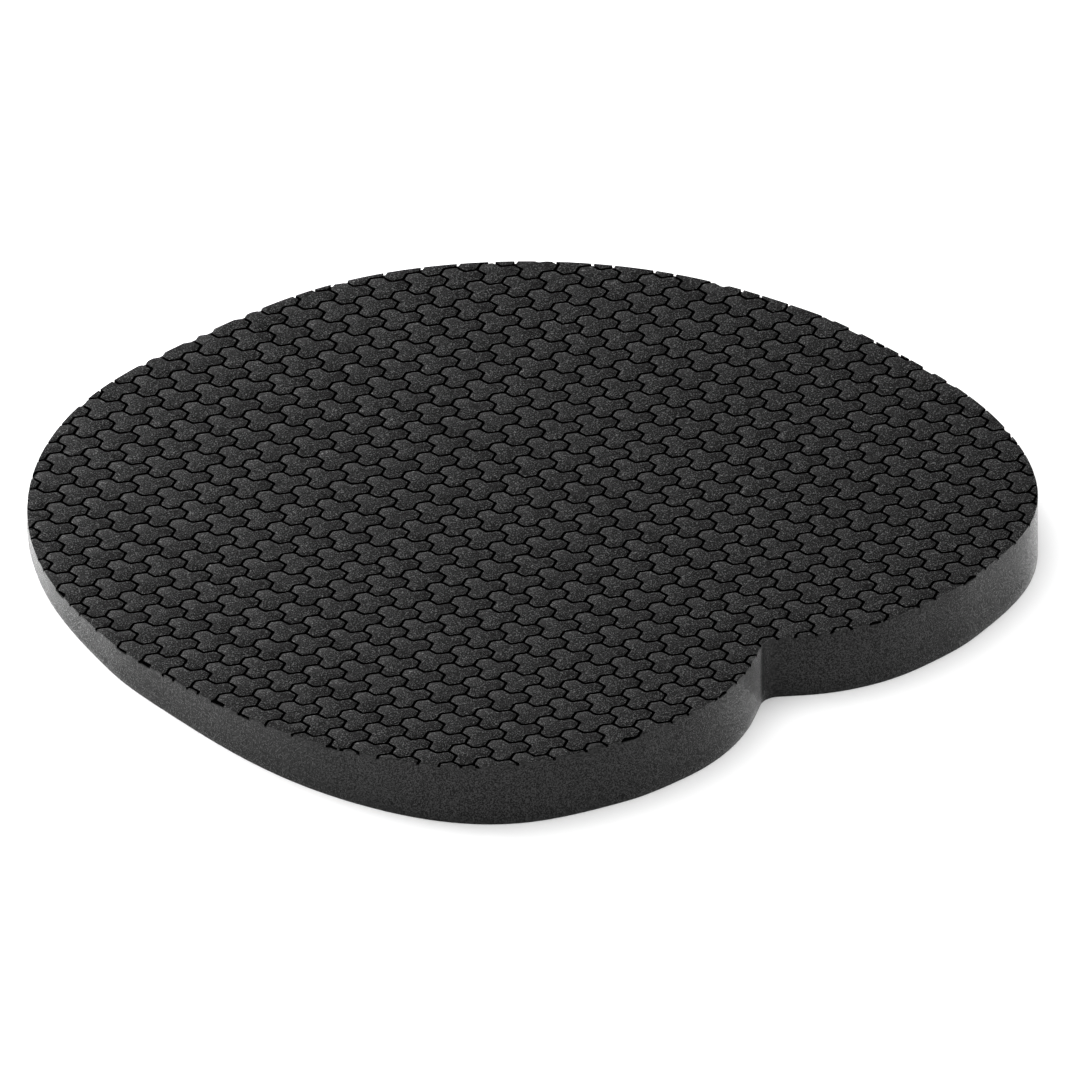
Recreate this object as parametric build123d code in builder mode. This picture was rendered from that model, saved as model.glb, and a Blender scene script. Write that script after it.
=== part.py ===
from build123d import *
import os
from math import atan, cos, radians, sin, tan

# A wedge-shaped riding pad: a closed-cell foam wedge, a thin black carrier film laid on its
# sloped top, and a skin of separate three-lobed foam tiles bonded to that film in columns.
# The open joints between the tiles let the skin bend, and show the film as black lines.
# The whole laminate is cut through vertically along one outline, so the rim trims the tiles.
# The thick end has a notch for the tailbone, between two round lobes.
#
# Millimetres. +X runs across the pad, +Y towards its thin end, +Z up.
# The origin lies on the flat underside, in the middle of the outline's bounding box.

os.makedirs("parts", exist_ok=True)

# --- Overall sizes ---
pad_width = 375.0
pad_length = 369.0
thick_end = 29.5
thin_end = 2.7

# --- Skin ---
tile_thickness = 1.1
film_thickness = 0.3
tile_edge = 5.0  # edge of the three regular hexagons that one tile is made of
groove_width = 1.25
pattern_start = 1.0  # from the thick end, up the slope, to the centre column's first tile middle
smallest_piece = 2.0  # trimmed scraps under this area (mm2) aren't bonded on

# --- Outline, right half, from the thin end round to the notch ---
shoulder_from_middle = 65.2
shoulder_from_thin_end = 6.8
upper_flank_from_side = 15.2
upper_flank_from_thin_end = 112.4
lower_flank_from_side = 4.0
lower_flank_from_thin_end = 153.8
widest_from_thick_end = 156.0
haunch_from_side = 12.1
haunch_from_thick_end = 75.1
lobe_corner_from_side = 56.3
lobe_corner_from_thick_end = 16.2
lobe_side_from_middle = 96.2
lobe_side_from_thick_end = 3.6
lobe_from_middle = 61.5

# --- Tailbone notch ---
notch_depth = 24.0  # to the point where its flanks would meet
notch_flank_angle = 34.7  # degrees that each flank makes with X
notch_bottom_radius = 8.0

# --- Derived places ---
half_width = pad_width / 2
thin_y = pad_length / 2
thick_y = -pad_length / 2

thin_middle = (0, thin_y)
shoulder = (shoulder_from_middle, thin_y - shoulder_from_thin_end)
upper_flank = (half_width - upper_flank_from_side, thin_y - upper_flank_from_thin_end)
lower_flank = (half_width - lower_flank_from_side, thin_y - lower_flank_from_thin_end)
widest = (half_width, thick_y + widest_from_thick_end)
haunch = (half_width - haunch_from_side, thick_y + haunch_from_thick_end)
lobe_corner = (half_width - lobe_corner_from_side, thick_y + lobe_corner_from_thick_end)
lobe_side = (lobe_side_from_middle, thick_y + lobe_side_from_thick_end)
lobe = (lobe_from_middle, thick_y)

# The lobe's inner arc leaves the thick end level and runs tangent into the notch's flank.
flank_tan = tan(radians(notch_flank_angle))
lip_radius = (lobe_from_middle - notch_depth / flank_tan) / tan(radians(notch_flank_angle / 2))
flank_end_x = notch_bottom_radius * sin(radians(notch_flank_angle))
flank_end = (flank_end_x, thick_y + notch_depth - flank_end_x * flank_tan)

slope = atan((thick_end - thin_end) / pad_length)
top_plane = Plane(origin=(0, thick_y, thick_end), x_dir=(1, 0, 0), z_dir=(0, sin(slope), cos(slope)))
film_top = top_plane.offset(-tile_thickness)
core_top = film_top.offset(-film_thickness)
prism_height = thick_end + 1.0


# --- Outline of the whole laminate ---
with BuildSketch() as outline:
    with BuildLine():
        Spline(thin_middle, shoulder, upper_flank, lower_flank, widest, tangents=((1, 0), (0, -1)))
        Spline(widest, haunch, lobe_corner, lobe_side, lobe, tangents=((0, -1), (-1, 0)))
        lip = JernArc(start=lobe, tangent=(-1, 0), radius=lip_radius, arc_size=-notch_flank_angle)
        notch_flank = Line(lip @ 1, flank_end)
        JernArc(
            start=flank_end,
            tangent=notch_flank % 1,
            radius=notch_bottom_radius,
            arc_size=notch_flank_angle,
        )
        mirror(about=Plane.YZ)
    make_face()


# --- Block that the outline is cut from, taller than the pad ---
with BuildPart() as laminate_block:
    add(outline.sketch)
    extrude(amount=prism_height)


# --- Foam wedge ---
with BuildPart() as foam_core:
    add(laminate_block.part)
    split(bisect_by=core_top, keep=Keep.BOTTOM)

foam_core.part.label = "foam_core"
export_step(foam_core.part, "parts/foam_core.step")


# --- Black carrier film between the wedge and the tiles ---
with BuildPart() as carrier_film:
    with BuildSketch(core_top):
        Rectangle(2 * pad_width, 3 * pad_length)
    extrude(amount=film_thickness)
    add(laminate_block.part, mode=Mode.INTERSECT)

carrier_film.part.label = "carrier_film"
export_step(carrier_film.part, "parts/carrier_film.step")


# --- Tile columns ---
# A tile is three regular hexagons round one shared corner. Its sides stand back half a groove
# from the hexagons' own, so its corners lie on smaller hexagons with the same centres.
# The pattern is laid out on the slope: X across, and the distance up the slope from the thick end.
inset_edge = tile_edge - groove_width / 2 / cos(radians(30))
tile_spacing = 3 * tile_edge
column_spacing = tile_spacing * cos(radians(30))
tile_reach = 2 * tile_edge
tile_height = tile_thickness / cos(slope)  # the tiles' walls are vertical
smallest_volume = smallest_piece * tile_thickness
outline_face = outline.sketch.face()


def around(radius, angle):
    """The point at a radius and an angle, in degrees, round the origin."""
    return Vector(radius, 0).rotate(Axis.Z, angle)


def tile_corners():
    """The corners of one tile, in order, with its shared hexagon corner at the origin."""
    corners = []
    for lobe_angle in (90, 210, 330):
        hexagon_middle = around(tile_edge, lobe_angle)
        for turn in (-60, 0, 60):
            corners.append(hexagon_middle + around(inset_edge, lobe_angle + turn))
        corners.append(around(inset_edge, lobe_angle + 60))
    return corners


def column_middles(column):
    """The middles of one column's tiles. Every other column stands half a tile further up."""
    start = pattern_start + (column % 2) * tile_spacing / 2
    count = int(pad_length / cos(slope) // tile_spacing) + 2
    return [(column * column_spacing, start + step * tile_spacing) for step in range(-1, count)]


def ring_round(middle):
    """Points in plan on a ring that just clears the tile with this middle."""
    centre = Vector(middle[0], thick_y + middle[1] * cos(slope))
    return [centre + around(tile_reach + 1, angle) for angle in range(0, 360, 30)]


def tile_faces(middles):
    """The undersides of the tiles with these middles, on the film."""
    with BuildSketch(film_top) as tiles:
        with Locations(*middles):
            Polygon(*tile_corners(), align=None)
    return tiles.sketch


# The outermost columns also carry the narrow scraps that the rim leaves of the next ones.
last_column = int((half_width - tile_edge) // column_spacing)

for column in range(-last_column, last_column + 1):
    middles = column_middles(column)
    if abs(column) == last_column:
        middles += column_middles(column + (1 if column > 0 else -1))
    whole = []
    trimmed = []
    for middle in middles:
        inside = [outline_face.is_inside(point) for point in ring_round(middle)]
        if all(inside):
            whole.append(middle)
        elif any(inside):
            trimmed.append(middle)
    with BuildPart() as rim_tiles:
        extrude(tile_faces(trimmed), amount=tile_height, dir=(0, 0, 1))
        add(laminate_block.part, mode=Mode.INTERSECT)
    with BuildPart() as tile_column:
        add([piece for piece in rim_tiles.solids() if piece.volume >= smallest_volume])
        if whole:
            extrude(tile_faces(whole), amount=tile_height, dir=(0, 0, 1))
    node = f"tile_column_{column + last_column + 1:02d}"
    tile_column.part.label = node
    export_step(tile_column.part, f"parts/{node}.step")
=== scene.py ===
"""A wedge-shaped riding pad: a foam wedge, a black carrier film and a skin of three-lobed tiles.

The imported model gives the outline, the slope and every node's place. Each CAD solid is replaced by
a finished piece here: the foam wedge with its cut wall, the film at the bottom of the grooves, and
one piece for each column of tiles, with rounded corners and eased top edges.
"""

import logging
import math
from dataclasses import dataclass
from enum import Enum
from typing import Any, ClassVar

import bmesh
import bpy
import numpy as np
from mathutils import Matrix, Vector
from mathutils.geometry import delaunay_2d_cdt


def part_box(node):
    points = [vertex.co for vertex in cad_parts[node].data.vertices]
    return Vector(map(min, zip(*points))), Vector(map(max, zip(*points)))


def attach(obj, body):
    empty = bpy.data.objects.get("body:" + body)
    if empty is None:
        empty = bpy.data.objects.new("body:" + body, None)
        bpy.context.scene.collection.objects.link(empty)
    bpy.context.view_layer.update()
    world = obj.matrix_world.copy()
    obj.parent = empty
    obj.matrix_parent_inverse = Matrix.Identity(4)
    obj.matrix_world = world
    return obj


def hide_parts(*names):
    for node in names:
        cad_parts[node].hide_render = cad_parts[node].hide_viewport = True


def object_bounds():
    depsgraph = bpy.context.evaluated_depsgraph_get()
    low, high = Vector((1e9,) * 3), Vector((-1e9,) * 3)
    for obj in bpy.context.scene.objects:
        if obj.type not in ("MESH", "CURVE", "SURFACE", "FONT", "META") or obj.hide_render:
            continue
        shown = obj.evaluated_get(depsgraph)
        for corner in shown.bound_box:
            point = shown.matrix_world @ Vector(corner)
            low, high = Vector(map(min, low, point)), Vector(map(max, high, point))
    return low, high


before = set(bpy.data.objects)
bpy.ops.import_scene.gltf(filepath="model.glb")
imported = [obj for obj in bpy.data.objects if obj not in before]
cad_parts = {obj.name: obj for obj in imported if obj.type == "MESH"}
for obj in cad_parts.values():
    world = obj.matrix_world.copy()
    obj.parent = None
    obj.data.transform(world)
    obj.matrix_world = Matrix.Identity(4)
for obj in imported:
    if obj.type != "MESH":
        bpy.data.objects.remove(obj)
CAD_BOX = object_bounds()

log = logging.getLogger("riding_pad")

BODY = "root"
MM = 0.001
FLAT = 1e-6  # a corner this near the ground lies on the underside
WELD = 1e-9  # points nearer than this are one point
OUTLINE_SPACING = 1.5 * MM
HEXAGON_TURN = math.radians(30)  # between a hexagon's corner and the middle of its side
FINE_SHARE = 0.6  # of the finer noise in a foam's grain

Point = tuple[float, float]
Number = float | int
Colour = tuple[float, float, float, float]
Stops = list[tuple[float, Colour]]


# ---------------------------------------------------------------------------------------------
# Shader helpers
# ---------------------------------------------------------------------------------------------


class Term:
    """A value in a shader: one output socket, with arithmetic that adds Math nodes."""

    def __init__(self, shader: "Shader", socket: bpy.types.NodeSocket) -> None:
        """Wraps a socket.

        Args:
            shader: The shader that the socket belongs to.
            socket: An output socket that carries one number for each point.
        """
        self.shader = shader
        self.socket = socket

    def _math(self, operation: str, first: Any, second: Any) -> "Term":
        """Adds one Math node.

        Args:
            operation: The Math node's operation.
            first: A Term or a number.
            second: A Term or a number.

        Returns:
            The node's result.
        """
        node = self.shader.node("ShaderNodeMath", {"operation": operation}, {0: first, 1: second})
        return Term(self.shader, node.outputs[0])

    def __add__(self, other: "Term | Number") -> "Term":
        """Returns self + other."""
        return self._math("ADD", self, other)

    def __radd__(self, other: Number) -> "Term":
        """Returns other + self."""
        return self._math("ADD", other, self)

    def __sub__(self, other: "Term | Number") -> "Term":
        """Returns self - other."""
        return self._math("SUBTRACT", self, other)

    def __rsub__(self, other: Number) -> "Term":
        """Returns other - self."""
        return self._math("SUBTRACT", other, self)

    def __mul__(self, other: "Term | Number") -> "Term":
        """Returns self * other."""
        return self._math("MULTIPLY", self, other)

    def __rmul__(self, other: Number) -> "Term":
        """Returns other * self."""
        return self._math("MULTIPLY", other, self)


class Shader:
    """A material or a world, and the nodes that are added to it."""

    def __init__(self, owner: bpy.types.Material | bpy.types.World) -> None:
        """Turns on the owner's nodes.

        Args:
            owner: The material or world.
        """
        owner.use_nodes = True
        self.owner = owner
        self.tree = owner.node_tree

    @classmethod
    def new_material(cls, name: str) -> "Shader":
        """Makes a material with one Principled BSDF.

        Args:
            name: The material's name.

        Returns:
            The material's shader.
        """
        return cls(bpy.data.materials.new(name))

    def node(
        self,
        kind: str,
        settings: dict[str, Any] | None = None,
        inputs: dict[int | str, Any] | None = None,
    ) -> bpy.types.Node:
        """Adds one node.

        Args:
            kind: The node's type.
            settings: The node's own properties, set first. "stops" sets a ramp's stops.
            inputs: A value, a socket or a Term for each input, by its name or number.

        Returns:
            The new node.
        """
        made = self.tree.nodes.new(kind)
        for key, value in (settings or {}).items():
            if key == "stops":
                self._set_stops(made, value)
            else:
                setattr(made, key, value)
        for key, value in (inputs or {}).items():
            self.feed(made.inputs[key], value)
        return made

    @staticmethod
    def _set_stops(ramp: bpy.types.Node, stops: Stops) -> None:
        """Sets a colour ramp's stops.

        Args:
            ramp: The Color Ramp node.
            stops: A place from 0 to 1 and a colour for each stop, in order.
        """
        elements = ramp.color_ramp.elements
        while len(elements) < len(stops):
            elements.new(1.0)
        for element, (place, colour) in zip(elements, stops):
            element.position = place
            element.color = colour

    def feed(self, socket: bpy.types.NodeSocket, value: Any) -> None:
        """Sets or links one input.

        Args:
            socket: The input socket.
            value: A constant, an output socket or a Term.
        """
        if isinstance(value, Term):
            value = value.socket
        if isinstance(value, bpy.types.NodeSocket):
            self.tree.links.new(value, socket)
        else:
            socket.default_value = value

    def place(self) -> bpy.types.NodeSocket:
        """Returns the point's place on the pad, in metres."""
        return self.node("ShaderNodeTexCoord").outputs["Object"]

    def noise(
        self, grain: float, detail: float = 2.0, roughness: float = 0.5, shift: float = 0.0
    ) -> Term:
        """Adds a noise that varies from about 0 to 1.

        Args:
            grain: The size of one grain in metres.
            detail: The number of finer layers.
            roughness: How strong the finer layers are.
            shift: An offset that makes this noise differ from the others, in metres.

        Returns:
            The noise's value.
        """
        where = self.place()
        if shift:
            offset = {0: where, 1: (shift, shift, shift)}
            where = self.node("ShaderNodeVectorMath", {"operation": "ADD"}, offset).outputs[0]
        made = self.node(
            "ShaderNodeTexNoise",
            {"noise_dimensions": "3D"},
            {"Vector": where, "Scale": 1 / grain, "Detail": detail, "Roughness": roughness},
        )
        return Term(self, made.outputs[0])

    def below(self, slope: "Slope") -> Term:
        """Returns how far the point lies under the plane of the tiles' tops, in metres.

        Args:
            slope: The pad's sloping layers.
        """
        parts = self.node("ShaderNodeSeparateXYZ", None, {0: self.place()}).outputs
        top = slope.tile_top(0) - Term(self, parts["Y"]) * slope.fall
        return top - Term(self, parts["Z"])

    def ramp(self, value: Term, stops: Stops) -> bpy.types.NodeSocket:
        """Turns a value into a colour.

        Args:
            value: The value, from 0 to 1.
            stops: The colour ramp's stops.

        Returns:
            The colour.
        """
        return self.node("ShaderNodeValToRGB", {"stops": stops}, {"Fac": value}).outputs["Color"]

    def mask(self, value: Term, low: float, high: float) -> Term:
        """Turns a value into a mask that rises from 0 at low to 1 at high.

        Args:
            value: The value.
            low: Where the mask starts to rise.
            high: Where the mask reaches 1.

        Returns:
            The mask.
        """
        limits = {0: value, 1: low, 2: high, 3: 0.0, 4: 1.0}
        made = self.node("ShaderNodeMapRange", {"interpolation_type": "SMOOTHSTEP"}, limits)
        return Term(self, made.outputs[0])

    def blend(self, factor: Term, first: Any, second: Any) -> bpy.types.NodeSocket:
        """Mixes two colours.

        Args:
            factor: How much of the second colour shows.
            first: A colour or a socket.
            second: A colour or a socket.

        Returns:
            The mixed colour.
        """
        colours = {0: factor, 6: first, 7: second}
        return self.node("ShaderNodeMix", {"data_type": "RGBA"}, colours).outputs[2]

    def raised(self, height: Term, depth: float) -> bpy.types.NodeSocket:
        """Turns a height into a surface normal.

        Args:
            height: The height, from 0 to 1.
            depth: How far a height of 1 stands out, in metres.

        Returns:
            The normal.
        """
        sizes = {"Height": height, "Distance": depth, "Strength": 1.0}
        return self.node("ShaderNodeBump", None, sizes).outputs[0]

    def speckle(self, factor: Term, sockets: dict[str, Any]) -> None:
        """Mixes a second Principled BSDF over the first.

        Args:
            factor: How much of the second one shows.
            sockets: A value, a socket or a Term for each of its inputs.
        """
        second = self.node("ShaderNodeBsdfPrincipled", None, sockets)
        first = self.tree.nodes["Principled BSDF"]
        both = {0: factor, 1: first.outputs[0], 2: second.outputs[0]}
        mixed = self.node("ShaderNodeMixShader", None, both)
        self.feed(self.tree.nodes["Material Output"].inputs["Surface"], mixed.outputs[0])

    def finish(self, **sockets: Any) -> bpy.types.Material:
        """Feeds the first Principled BSDF and returns the material.

        Args:
            **sockets: A value, a socket or a Term for each input, by its name with _ for a space.

        Returns:
            The finished material.
        """
        surface = self.tree.nodes["Principled BSDF"]
        for name, value in sockets.items():
            self.feed(surface.inputs[name.replace("_", " ")], value)
        return self.owner


def grey(tone: float) -> Colour:
    """Returns the neutral colour of one linear tone."""
    return (tone, tone, tone, 1.0)


# ---------------------------------------------------------------------------------------------
# Finishes
# ---------------------------------------------------------------------------------------------


class Slot(Enum):
    """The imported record's material slots."""

    CORE = "core_foam"
    FILM = "black_film"
    TILE = "tile_foam"


@dataclass(frozen=True)
class TileFoam:
    """The tops of the tiles: charcoal foam with fine pale specks, with painted shade that turns it
    black just under the tops' edges, toward the grooves.
    """

    pore_tone: float = 0.0
    tone: float = 0.003
    speck_tone: float = 0.118
    # painted shade in the grooves, not the foam's own colour
    groove_shade_tone: float = 0.0005
    pore_at: float = 0.455  # the grain's height that has the pores' tone
    tone_at: float = 0.54  # the height that has the foam's own tone
    speck_at: float = 0.68  # the height that has the specks' tone
    grain: float = 0.85 * MM
    fine_grain: float = 0.52 * MM
    patch: float = 14 * MM  # the size of the faint pale patches
    patch_share: float = 0.2
    groove_shade_start: float = 0.01 * MM  # how far under the tiles' tops the painted groove shade starts
    groove_shade_end: float = 0.12 * MM  # how far under them the painted shade is full
    relief: float = 0.20 * MM
    roughness: float = 0.50
    grain_roughness: float = 0.25
    groove_roughness: float = 0.3
    ior: float = 1.11

    def material(self, slope: "Slope") -> bpy.types.Material:
        """Returns the finished material.

        Args:
            slope: The pad's sloping layers, which tell a tile's top from its sides.
        """
        shader = Shader.new_material("tile_foam_grain_and_groove_shade")
        grain = shader.noise(self.grain, detail=3.0, roughness=0.8)
        fine = shader.noise(self.fine_grain, detail=1.0, shift=0.37)
        patches = shader.noise(self.patch, detail=2.0, shift=1.3)
        mixed = fine * FINE_SHARE + grain * (1 - FINE_SHARE)
        # painted shade: a mask that rises below the tiles' tops, where the grooves' shade falls
        groove = shader.mask(shader.below(slope), self.groove_shade_start, self.groove_shade_end)
        stops = [
            (self.pore_at, grey(self.pore_tone)),
            (self.tone_at, grey(self.tone)),
            (self.speck_at, grey(self.speck_tone)),
        ]
        colour = shader.ramp(mixed, stops)
        colour = shader.blend(patches * self.patch_share, colour, grey(self.tone * 1.5))
        # painted shade: the colour goes near-black by that mask
        colour = shader.blend(groove, colour, grey(self.groove_shade_tone))
        return shader.finish(
            Base_Color=colour,
            Roughness=self.roughness
            + mixed * self.grain_roughness
            + groove * self.groove_roughness,
            Normal=shader.raised(mixed, self.relief),
            IOR=self.ior,
        )


@dataclass(frozen=True)
class CutFoam:
    """The pad's knife-cut wall: cell mouths between torn, slightly fuzzy cell skins.

    The skins catch light at a shallow angle, where the mouths stay dark.
    """

    tone: float = 0.001
    skin_tone: float = 0.014
    cell: float = 0.84 * MM
    fine_grain: float = 0.55 * MM
    streak: float = 9 * MM  # the size of the darker patches of skin
    streak_share: float = 0.3
    skin_start: float = 0.42  # the grain's height where a skin starts
    skin_end: float = 0.60  # the height where it is whole
    relief: float = 0.18 * MM
    mouth_roughness: float = 0.3
    skin_roughness: float = 0.10
    grain_roughness: float = 0.2
    mouth_ior: float = 1.20
    skin_ior: float = 1.40
    fuzz: float = 1.0
    fuzz_roughness: float = 0.25

    def material(self) -> bpy.types.Material:
        """Returns the finished material."""
        shader = Shader.new_material("cut_foam_wall")
        cells = shader.noise(self.cell, detail=3.0, roughness=0.8)
        fine = shader.noise(self.fine_grain, detail=1.0, shift=0.61)
        streaks = shader.noise(self.streak, detail=3.0, shift=2.1) * self.streak_share
        mixed = fine * FINE_SHARE + cells * (1 - FINE_SHARE)
        skin = shader.mask(mixed, self.skin_start, self.skin_end)
        normal = shader.raised(mixed, self.relief)
        skins = {
            "Base Color": shader.blend(streaks, grey(self.skin_tone), grey(self.skin_tone * 0.5)),
            "Roughness": self.skin_roughness + mixed * self.grain_roughness,
            "Normal": normal,
            "IOR": self.skin_ior,
            "Sheen Weight": self.fuzz,
            "Sheen Roughness": self.fuzz_roughness,
        }
        shader.speckle(skin, skins)
        return shader.finish(
            Base_Color=grey(self.tone),
            Roughness=self.mouth_roughness + cells * self.grain_roughness,
            Normal=normal,
            IOR=self.mouth_ior,
        )


@dataclass(frozen=True)
class BlackFilmAndGrooveShade:
    """The carrier film's dull black face, made darker than the film's own black as painted shade at
    the bottom of the grooves; also put on the tiles' groove sides as painted shade.
    """

    # near-zero tones: the film's own black pushed darker as painted groove shade
    dark_tone: float = 0.00024
    pale_tone: float = 0.00064
    weave: float = 0.5 * MM
    relief: float = 0.02 * MM
    roughness: float = 0.8
    weave_roughness: float = 0.15

    def material(self) -> bpy.types.Material:
        """Returns the finished material."""
        shader = Shader.new_material("black_film_and_groove_shade")
        weave = shader.noise(self.weave, detail=2.0)
        return shader.finish(
            Base_Color=shader.blend(weave, grey(self.dark_tone), grey(self.pale_tone)),
            Roughness=self.roughness + weave * self.weave_roughness,
            Normal=shader.raised(weave, self.relief),
            Specular_IOR_Level=0.0,
        )


@dataclass(frozen=True)
class PaleFloor:
    """The studio's plain white floor."""

    tone: float = 0.95
    roughness: float = 0.9

    def material(self) -> bpy.types.Material:
        """Returns the finished material."""
        shader = Shader.new_material("studio_floor")
        return shader.finish(
            Base_Color=grey(self.tone), Roughness=self.roughness, Specular_IOR_Level=0.0
        )


# ---------------------------------------------------------------------------------------------
# Shape of the laminate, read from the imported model
# ---------------------------------------------------------------------------------------------


@dataclass
class Slope:
    """The pad's parallel sloping layers, as heights along Y."""

    thick_y: float
    thin_y: float
    core_thick: float
    core_thin: float
    film: float
    tile: float

    @classmethod
    def from_frame(cls) -> "Slope":
        """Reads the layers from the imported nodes.

        Returns:
            The slope of the core, with the film's and the tiles' thickness, measured upright.
        """
        core_low, core_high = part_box("foam_core")
        film_low, film_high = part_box("carrier_film")
        return cls(
            thick_y=core_low[1],
            thin_y=core_high[1],
            core_thick=core_high[2],
            core_thin=film_low[2],
            film=film_high[2] - core_high[2],
            tile=CAD_BOX[1][2] - film_high[2],
        )

    @property
    def fall(self) -> float:
        """The height lost for each metre along Y."""
        return (self.core_thick - self.core_thin) / (self.thin_y - self.thick_y)

    def core_top(self, y: float) -> float:
        """Returns the height of the core's top at y."""
        return self.core_thick - self.fall * (y - self.thick_y)

    def film_top(self, y: float) -> float:
        """Returns the height of the film's top at y."""
        return self.core_top(y) + self.film

    def tile_top(self, y: float) -> float:
        """Returns the height of the tiles' top at y."""
        return self.film_top(y) + self.tile


@dataclass
class Outline:
    """The closed line that the whole laminate is cut along, as evenly spaced plan points."""

    STEPS: ClassVar[int] = 24  # along the curve between two of the CAD's corners

    points: np.ndarray

    @classmethod
    def from_node(cls, node: str, spacing: float) -> "Outline":
        """Reads a node's flat underside and redraws its edge as one smooth line.

        Args:
            node: The CAD node, whose underside is flat and can be seen whole from its middle.
            spacing: The distance between the new points, in metres.

        Returns:
            The outline, anticlockwise.
        """
        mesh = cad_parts[node].data
        flat = {(round(v.co.x, 7), round(v.co.y, 7)) for v in mesh.vertices if abs(v.co.z) < FLAT}
        corners = np.array(sorted(flat, key=lambda p: math.atan2(p[1], p[0])))
        return cls(cls._smooth(corners, spacing))

    @classmethod
    def _smooth(cls, corners: np.ndarray, spacing: float) -> np.ndarray:
        """Runs a closed centripetal curve through the corners and spaces points along it.

        Args:
            corners: The points to pass through, in order.
            spacing: The wanted distance between the new points.

        Returns:
            The new points.
        """
        before, after = np.roll(corners, 1, axis=0), np.roll(corners, -1, axis=0)
        beyond = np.roll(corners, -2, axis=0)
        pieces = []
        for p0, p1, p2, p3 in zip(before, corners, after, beyond):
            gaps = [math.sqrt(np.linalg.norm(b - a)) for a, b in ((p0, p1), (p1, p2), (p2, p3))]
            first = (p1 - p0) / gaps[0] - (p2 - p0) / (gaps[0] + gaps[1]) + (p2 - p1) / gaps[1]
            second = (p2 - p1) / gaps[1] - (p3 - p1) / (gaps[1] + gaps[2]) + (p3 - p2) / gaps[2]
            m1, m2 = first * gaps[1], second * gaps[1]
            t = np.linspace(0, 1, cls.STEPS, endpoint=False)[:, None]
            pieces.append(
                (2 * t**3 - 3 * t**2 + 1) * p1
                + (t**3 - 2 * t**2 + t) * m1
                + (3 * t**2 - 2 * t**3) * p2
                + (t**3 - t**2) * m2
            )
        fine = np.vstack(pieces)
        closed = np.vstack([fine, fine[:1]])
        along = np.concatenate([[0], np.cumsum(np.linalg.norm(np.diff(closed, axis=0), axis=1))])
        count = round(along[-1] / spacing)
        wanted = np.linspace(0, along[-1], count, endpoint=False)
        return np.column_stack([np.interp(wanted, along, closed[:, axis]) for axis in (0, 1)])

    def normals(self) -> np.ndarray:
        """Returns the outward direction at each point."""
        run = np.roll(self.points, -1, axis=0) - np.roll(self.points, 1, axis=0)
        run /= np.linalg.norm(run, axis=1)[:, None]
        return np.column_stack([run[:, 1], -run[:, 0]])

    def inset(self, distance: float) -> np.ndarray:
        """Returns the points moved inwards by a distance in metres."""
        return self.points - self.normals() * distance

    def clearance(self, middle: Point) -> float:
        """Returns the distance from a place to the nearest of the outline's points."""
        return float(np.min(np.linalg.norm(self.points - np.array(middle), axis=1)))

    def gap(self, place: Point) -> float:
        """Returns the distance from a place to the outline's line."""
        run = np.roll(self.points, -1, axis=0) - self.points
        lead = np.array(place) - self.points
        share = np.clip((lead * run).sum(axis=1) / (run * run).sum(axis=1), 0, 1)[:, None]
        return float(np.min(np.linalg.norm(lead - run * share, axis=1)))

    def holds(self, middle: Point) -> bool:
        """Returns whether a point lies inside the outline."""
        x, y = middle
        ax, ay = self.points.T
        bx, by = np.roll(ax, -1), np.roll(ay, -1)
        spans = (ay > y) != (by > y)
        crossing = ax[spans] + (y - ay[spans]) * (bx[spans] - ax[spans]) / (by[spans] - ay[spans])
        return bool(np.count_nonzero(crossing > x) % 2)

    def clip(self, loop: list[Point]) -> list[list[Point]]:
        """Cuts a closed loop by the outline.

        Args:
            loop: The loop's corners, in order.

        Returns:
            The loops that are left inside the outline, anticlockwise.
        """
        corners = [Vector(p) for p in loop] + [Vector(p) for p in self.points]
        faces = [list(range(len(loop))), list(range(len(loop), len(corners)))]
        verts, _, cells, _, _, owners = delaunay_2d_cdt(corners, [], faces, 1, WELD)
        kept = [cell for cell, owner in zip(cells, owners) if {0, 1} <= set(owner)]
        after: dict[int, int] = {}
        edges = {(a, b) for cell in kept for a, b in zip(cell, cell[1:] + cell[:1])}
        for a, b in edges:
            if (b, a) not in edges:
                after[a] = b
        loops = []
        while after:
            start, current = next(iter(after.items()))
            walk = [start]
            del after[start]
            while current != start and current in after:
                walk.append(current)
                current = after.pop(current)
            loops.append([tuple(verts[i]) for i in walk])
        return loops


def area_of(loop: list[Point]) -> float:
    """Returns the area inside a closed loop, in square metres."""
    x, y = np.array(loop).T
    return float(abs(np.dot(x, np.roll(y, -1)) - np.dot(np.roll(x, -1), y)) / 2)


# ---------------------------------------------------------------------------------------------
# Pieces
# ---------------------------------------------------------------------------------------------


def new_piece(
    name: str, shape: bmesh.types.BMesh, finish: bpy.types.Material, crease: float
) -> bpy.types.Object:
    """Turns a shape into a piece that rides on the pad's body.

    Args:
        name: The piece's name.
        shape: The shape, in metres, which is freed.
        finish: The piece's material.
        crease: The angle in degrees over which an edge stays sharp.

    Returns:
        The new object.
    """
    mesh = bpy.data.meshes.new(name)
    shape.normal_update()
    shape.to_mesh(mesh)
    shape.free()
    mesh.shade_smooth()
    mesh.set_sharp_from_angle(angle=math.radians(crease))
    mesh.materials.append(finish)
    piece = bpy.data.objects.new(name, mesh)
    bpy.context.scene.collection.objects.link(piece)
    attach(piece, BODY)
    return piece


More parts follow.
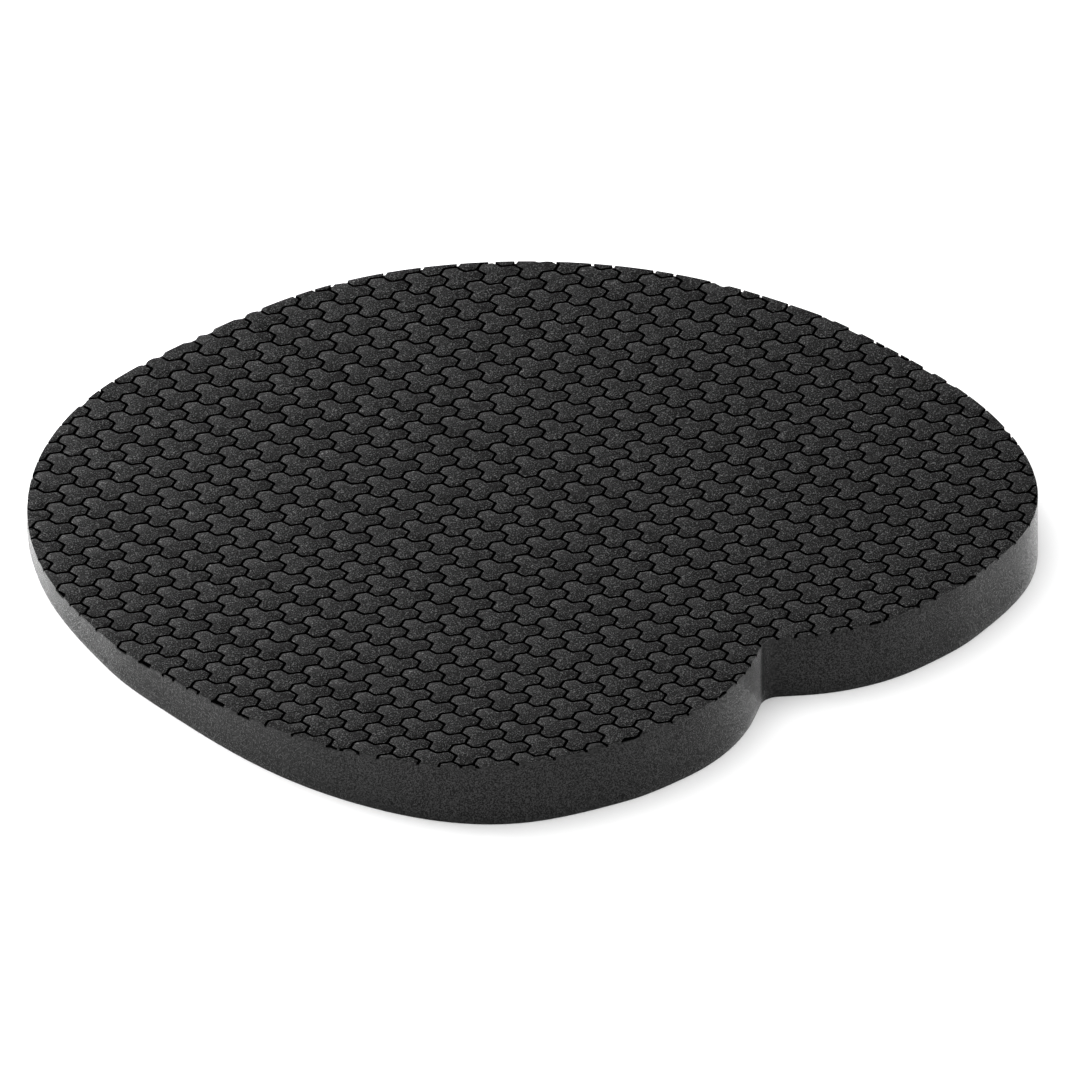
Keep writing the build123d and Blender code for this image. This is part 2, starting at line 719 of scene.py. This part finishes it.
@dataclass
class FoamWedge:
    """The one-piece foam core: a flat underside, a cut wall and a sloping bed for the film."""

    outline: Outline
    slope: Slope
    lip: float = 0.7 * MM  # the foam left standing round the film
    ease: float = 0.35 * MM  # the rounding of the lower edge
    bands: int = 6  # rows of faces up the wall
    wave: float = 0.05 * MM  # how far the knife wandered
    long_waves: int = 23  # round the rim
    short_waves: int = 41  # round the rim
    crease: float = 40  # degrees

    def _wander(self, up: float) -> np.ndarray:
        """Returns how far each wall point stands in at a share of the wall's height."""
        count = len(self.outline.points)
        turn = np.linspace(0, 2 * math.pi, count, endpoint=False)
        sway = np.sin(self.long_waves * turn + 2.1 * up)
        sway += 0.6 * np.sin(self.short_waves * turn - 3.3 * up + 1.0)
        return self.wave * math.sin(math.pi * up) * (0.8 + 0.5 * sway)

    def _rings(self) -> list[tuple[np.ndarray, np.ndarray]]:
        """Returns the plan points and the heights of each ring, from the underside to the bed."""
        points, normals = self.outline.points, self.outline.normals()
        top = np.array([self.slope.film_top(y) for y in points[:, 1]])
        rings = []
        for step in (0.0, 0.5, 1.0):
            angle = step * math.pi / 2
            inward = self.ease * (1 - math.sin(angle))
            height = self.ease * (1 - math.cos(angle))
            rings.append((points - normals * inward, np.full(len(points), height)))
        for band in range(1, self.bands + 1):
            up = band / self.bands
            inward = self._wander(up)[:, None]
            rings.append((points - normals * inward, self.ease + (top - self.ease) * up))
        for depth in (0.0, self.slope.film):
            inner = self.outline.inset(self.lip)
            height = np.array([self.slope.film_top(y) - depth for y in inner[:, 1]])
            rings.append((inner, height))
        return rings

    def shape(self) -> bmesh.types.BMesh:
        """Returns the wedge's shape."""
        made = bmesh.new()
        loops = []
        for plan, heights in self._rings():
            loops.append([made.verts.new((x, y, z)) for (x, y), z in zip(plan, heights)])
        made.faces.new(list(reversed(loops[0])))
        for lower, upper in zip(loops, loops[1:]):
            count = len(lower)
            for i in range(count):
                j = (i + 1) % count
                made.faces.new((lower[i], lower[j], upper[j], upper[i]))
        made.faces.new(loops[-1])
        return made

    def build(self, finish: bpy.types.Material) -> bpy.types.Object:
        """Args:
            finish: The cut foam's material.

        Returns:
            The wedge.
        """
        piece = new_piece("foam_wedge", self.shape(), finish, self.crease)
        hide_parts("foam_core")
        return piece


@dataclass
class CarrierFilm:
    """The thin black film in its bed, which shows at the bottom of the grooves."""

    outline: Outline
    slope: Slope
    margin: float = 0.72 * MM  # from the rim to the film's edge
    crease: float = 40  # degrees

    def build(self, finish: bpy.types.Material) -> bpy.types.Object:
        """Args:
            finish: The film's material.

        Returns:
            The film.
        """
        plan = self.outline.inset(self.margin)
        made = bmesh.new()
        lower = [made.verts.new((x, y, self.slope.core_top(y))) for x, y in plan]
        upper = [made.verts.new((x, y, self.slope.film_top(y))) for x, y in plan]
        made.faces.new(list(reversed(lower)))
        made.faces.new(upper)
        for i in range(len(plan)):
            j = (i + 1) % len(plan)
            made.faces.new((lower[i], lower[j], upper[j], upper[i]))
        piece = new_piece("groove_film", made, finish, self.crease)
        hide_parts("carrier_film")
        return piece


@dataclass
class TileSkin:
    """The three-lobed tiles, laid in columns from the thick end to the thin end."""

    outline: Outline
    slope: Slope
    edge: float = 5.0 * MM  # of the three hexagons that a tile is made of
    groove: float = 1.25 * MM
    start: float = 1.0 * MM  # up the slope to the centre column's first tile middle
    corner: float = 0.9 * MM  # rounding of the tiles' corners in plan
    corner_steps: int = 4
    ease: float = 0.22 * MM  # rounding of the tiles' top edges
    smallest: float = 2.0 * MM**2  # scraps under this area aren't bonded on
    steepest_top: float = 0.6  # a face whose normal rises less than this is a side
    crease: float = 35  # degrees

    @property
    def columns(self) -> list[str]:
        """The CAD's nodes for the tile columns, from -X to +X."""
        return sorted(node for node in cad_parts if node.startswith("tile_column"))

    @property
    def tilt(self) -> float:
        """The cosine of the slope, which shortens the pattern in plan."""
        return 1 / math.hypot(1, self.slope.fall)

    @property
    def repeat(self) -> float:
        """The distance between tiles of one column, measured on the slope."""
        return 3 * self.edge

    def _corners(self) -> list[Vector]:
        """Returns the twelve corners of one tile on the slope, round its middle."""
        inset = self.edge - self.groove / 2 / math.cos(HEXAGON_TURN)

        def around(radius: float, angle: float) -> Vector:
            """Returns the point at a radius and an angle in degrees."""
            turn = math.radians(angle)
            return Vector((radius * math.cos(turn), radius * math.sin(turn)))

        corners = []
        for lobe in (90, 210, 330):
            middle = around(self.edge, lobe)
            corners += [middle + around(inset, lobe + turn) for turn in (-60, 0, 60)]
            corners.append(around(inset, lobe + 60))
        return corners

    def tile_loop(self) -> list[Point]:
        """Returns one tile's outline in plan, with rounded corners, round its middle."""
        corners = self._corners()
        loop = []
        befores, afters = corners[-1:] + corners[:-1], corners[1:] + corners[:1]
        for before, here, after in zip(befores, corners, afters):
            arrive, leave = (here - before).normalized(), (after - here).normalized()
            half_turn = arrive.angle(leave) / 2
            reach = self.corner * math.tan(half_turn)
            start, end = here - arrive * reach, here + leave * reach
            for step in range(self.corner_steps + 1):
                t = step / self.corner_steps
                weight = 2 * t * (1 - t) * math.cos(half_turn)
                total = (1 - t) ** 2 + weight + t**2
                point = (start * (1 - t) ** 2 + here * weight + end * t**2) / total
                loop.append((point.x, point.y * self.tilt))
        return loop

    def middles(self, column: int) -> list[Point]:
        """Returns the plan places of one column's tile middles.

        Args:
            column: The column's number, 0 on the pad's middle line. Odd ones stand half a tile on.
        """
        x = column * self.repeat * math.cos(HEXAGON_TURN)
        first = self.start + (column % 2) * self.repeat / 2
        foot = self.slope.thick_y
        count = int((self.slope.thin_y - foot) / self.tilt / self.repeat) + 2
        return [(x, foot + (first + n * self.repeat) * self.tilt) for n in range(-1, count)]

    def loops(self, column: int) -> list[list[Point]]:
        """Returns the outlines of one column's tiles, trimmed by the rim.

        Args:
            column: The column's number.
        """
        shape = self.tile_loop()
        reach = 2 * self.edge
        found = []
        for mx, my in self.middles(column):
            loop = [(mx + x, my + y) for x, y in shape]
            if self.outline.clearance((mx, my)) > reach:
                found += [loop] if self.outline.holds((mx, my)) else []
            else:
                found += [cut for cut in self.outline.clip(loop) if area_of(cut) >= self.smallest]
        return found

    def shape(self, loops: list[list[Point]]) -> bmesh.types.BMesh:
        """Raises tiles from their outlines and eases their top edges.

        Args:
            loops: The tiles' outlines in plan.

        Returns:
            The tiles, as separate closed solids in one mesh.
        """
        made = bmesh.new()
        crests = []
        for loop in loops:
            lower = [made.verts.new((x, y, self.slope.film_top(y))) for x, y in loop]
            upper = [made.verts.new((x, y, self.slope.tile_top(y))) for x, y in loop]
            made.faces.new(list(reversed(lower)))
            made.faces.new(upper)
            for i in range(len(loop)):
                j = (i + 1) % len(loop)
                made.faces.new((lower[i], lower[j], upper[j], upper[i]))
                crests.append(made.edges.get((upper[i], upper[j])))
        bmesh.ops.bevel(
            made,
            geom=crests,
            offset=self.ease,
            segments=2,
            profile=0.5,
            affect="EDGES",
            clamp_overlap=True,
        )
        return made

    def finish_sides(
        self, piece: bpy.types.Object, cut: bpy.types.Material, groove: bpy.types.Material
    ) -> None:
        """Gives the sides of the tiles their finishes: cut foam where they are part of the pad's
        wall, and the black film material as painted shade where they face a groove.

        Args:
            piece: One column's tiles.
            cut: The cut foam's material, for the sides that are part of the pad's wall.
            groove: The black film material, put on the sides that face a groove as painted shade.
        """
        piece.data.materials.append(cut)
        piece.data.materials.append(groove)
        touching = 0.2 * self.ease
        for face in piece.data.polygons:
            if abs(face.normal.z) < self.steepest_top:
                in_wall = self.outline.gap(face.center.xy) < touching
                # painted shade: the sides that face a groove get the near-black film material
                face.material_index = 1 if in_wall else 2

    def build(
        self, finish: bpy.types.Material, cut: bpy.types.Material, groove: bpy.types.Material
    ) -> list[bpy.types.Object]:
        """Builds and declares one piece for each CAD column.

        Args:
            finish: The tile foam's material.
            cut: The cut foam's material.
            groove: The black film material, used as painted shade on the tiles' groove sides.

        Returns:
            The pieces, from -X to +X.
        """
        nodes = self.columns
        last = len(nodes) // 2
        pieces = []
        for node, column in zip(nodes, range(-last, last + 1)):
            loops = self.loops(column)
            if abs(column) == last:
                loops += self.loops(column + (1 if column > 0 else -1))
            name = node.replace("tile_column", "tiles")
            piece = new_piece(name, self.shape(loops), finish, self.crease)
            self.finish_sides(piece, cut, groove)
            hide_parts(node)
            pieces.append(piece)
        return pieces


# ---------------------------------------------------------------------------------------------
# Studio
# ---------------------------------------------------------------------------------------------


@dataclass
class Studio:
    """A white floor, soft light and the camera."""

    azimuth: float = -40.75  # degrees, 0 looks along +Y
    elevation: float = 32.92
    frame_width: float = 431.2 * MM  # what the picture's width covers
    pan: Point = (15.8 * MM, -3.56 * MM)  # the picture's middle, right of and above the origin
    distance: float = 2.0
    floor_size: float = 12.0
    floor_drop: float = 0.02 * MM  # from the pad's underside
    horizon: float = 0.02  # how far down the sky turns into the ground's brightness

    def camera(self) -> None:
        """Adds the camera, level and without perspective."""
        turn, rise = math.radians(self.azimuth), math.radians(self.elevation)
        ahead = Vector((-math.sin(turn), math.cos(turn), 0))
        look = ahead * math.cos(rise) - Vector((0, 0, math.sin(rise)))
        right = look.cross(Vector((0, 0, 1))).normalized()
        up = right.cross(look)
        data = bpy.data.cameras.new("studio_camera")
        data.type = "ORTHO"
        data.ortho_scale = self.frame_width
        data.clip_end = 10 * self.distance
        camera = bpy.data.objects.new("studio_camera", data)
        target = right * self.pan[0] + up * self.pan[1]
        facing = Matrix((right, up, -look)).transposed().to_4x4()
        camera.matrix_world = Matrix.Translation(target - look * self.distance) @ facing
        bpy.context.scene.collection.objects.link(camera)
        bpy.context.scene.camera = camera

    def floor(self, finish: bpy.types.Material) -> None:
        """Adds the floor just under the pad.

        Args:
            finish: The floor's material.
        """
        half = self.floor_size / 2
        made = bmesh.new()
        corners = [(-half, -half, 0), (half, -half, 0), (half, half, 0), (-half, half, 0)]
        made.faces.new([made.verts.new(corner) for corner in corners])
        mesh = bpy.data.meshes.new("studio_floor")
        made.to_mesh(mesh)
        made.free()
        mesh.materials.append(finish)
        floor = bpy.data.objects.new("studio_floor", mesh)
        floor.location.z = CAD_BOX[0][2] - self.floor_drop
        bpy.context.scene.collection.objects.link(floor)

    def sky(self, strength: float, ground: float) -> None:
        """Lights the scene evenly from all round.

        Args:
            strength: The brightness of the room above the floor.
            ground: The brightness below it, past the floor's edge.
        """
        world = bpy.data.worlds.new("studio_sky")
        shader = Shader(world)
        heading = shader.node("ShaderNodeTexCoord").outputs["Generated"]
        parts = shader.node("ShaderNodeSeparateXYZ", None, {0: heading}).outputs
        low = shader.mask(0 - Term(shader, parts["Z"]), 0.0, self.horizon)
        background = shader.tree.nodes["Background"]
        shader.feed(background.inputs["Color"], grey(1.0))
        shader.feed(background.inputs["Strength"], strength + low * (ground - strength))
        bpy.context.scene.world = world

    def lamp(self, name: str, place: Vector, sides: Point, power: float) -> None:
        """Adds a soft lamp that faces the pad.

        Args:
            name: The lamp's name.
            place: The lamp's place in metres.
            sides: Its width and height in metres.
            power: Its power in watts.
        """
        data = bpy.data.lights.new(name, "AREA")
        data.shape = "RECTANGLE"
        data.size, data.size_y = sides
        data.energy = power
        lamp = bpy.data.objects.new(name, data)
        lamp.location = place
        lamp.rotation_mode = "QUATERNION"
        lamp.rotation_quaternion = (-place).to_track_quat("-Z", "Y")
        bpy.context.scene.collection.objects.link(lamp)

    def build(self) -> None:
        """Adds the whole studio."""
        self.camera()
        self.floor(PaleFloor().material())
        self.sky(strength=0.6, ground=1.3)
        strip = (1.8, 0.5)
        self.lamp("overhead_softbox", Vector((0.0, 0.0, 2.2)), sides=(3.0, 3.0), power=56.0)
        self.lamp("left_strip", Vector((-0.26, 1.58, 0.3)), sides=strip, power=88.0)
        self.lamp("right_strip", Vector((1.60, -0.02, 0.3)), sides=strip, power=8.0)
        view = bpy.context.scene.view_settings
        view.view_transform = "Standard"
        view.look = "None"


def main() -> None:
    """Builds the pad and its studio, and reports each piece."""
    logging.basicConfig(level=logging.INFO, format="%(name)s: %(message)s")
    Studio().build()
    slope = Slope.from_frame()
    outline = Outline.from_node("foam_core", spacing=OUTLINE_SPACING)
    log.info("outline of %d points, slope falls %.4f", len(outline.points), slope.fall)
    cut_foam = CutFoam().material()
    wedge = FoamWedge(outline, slope).build(cut_foam)
    # the film's black, also used as painted shade on the tiles' groove sides
    black = BlackFilmAndGrooveShade().material()
    film = CarrierFilm(outline, slope).build(black)
    tiles = TileSkin(outline, slope).build(TileFoam().material(slope), cut_foam, black)
    for piece in [wedge, film, *tiles]:
        log.info("%s: %d faces", piece.name, len(piece.data.polygons))


if __name__ == "__main__":
    main()
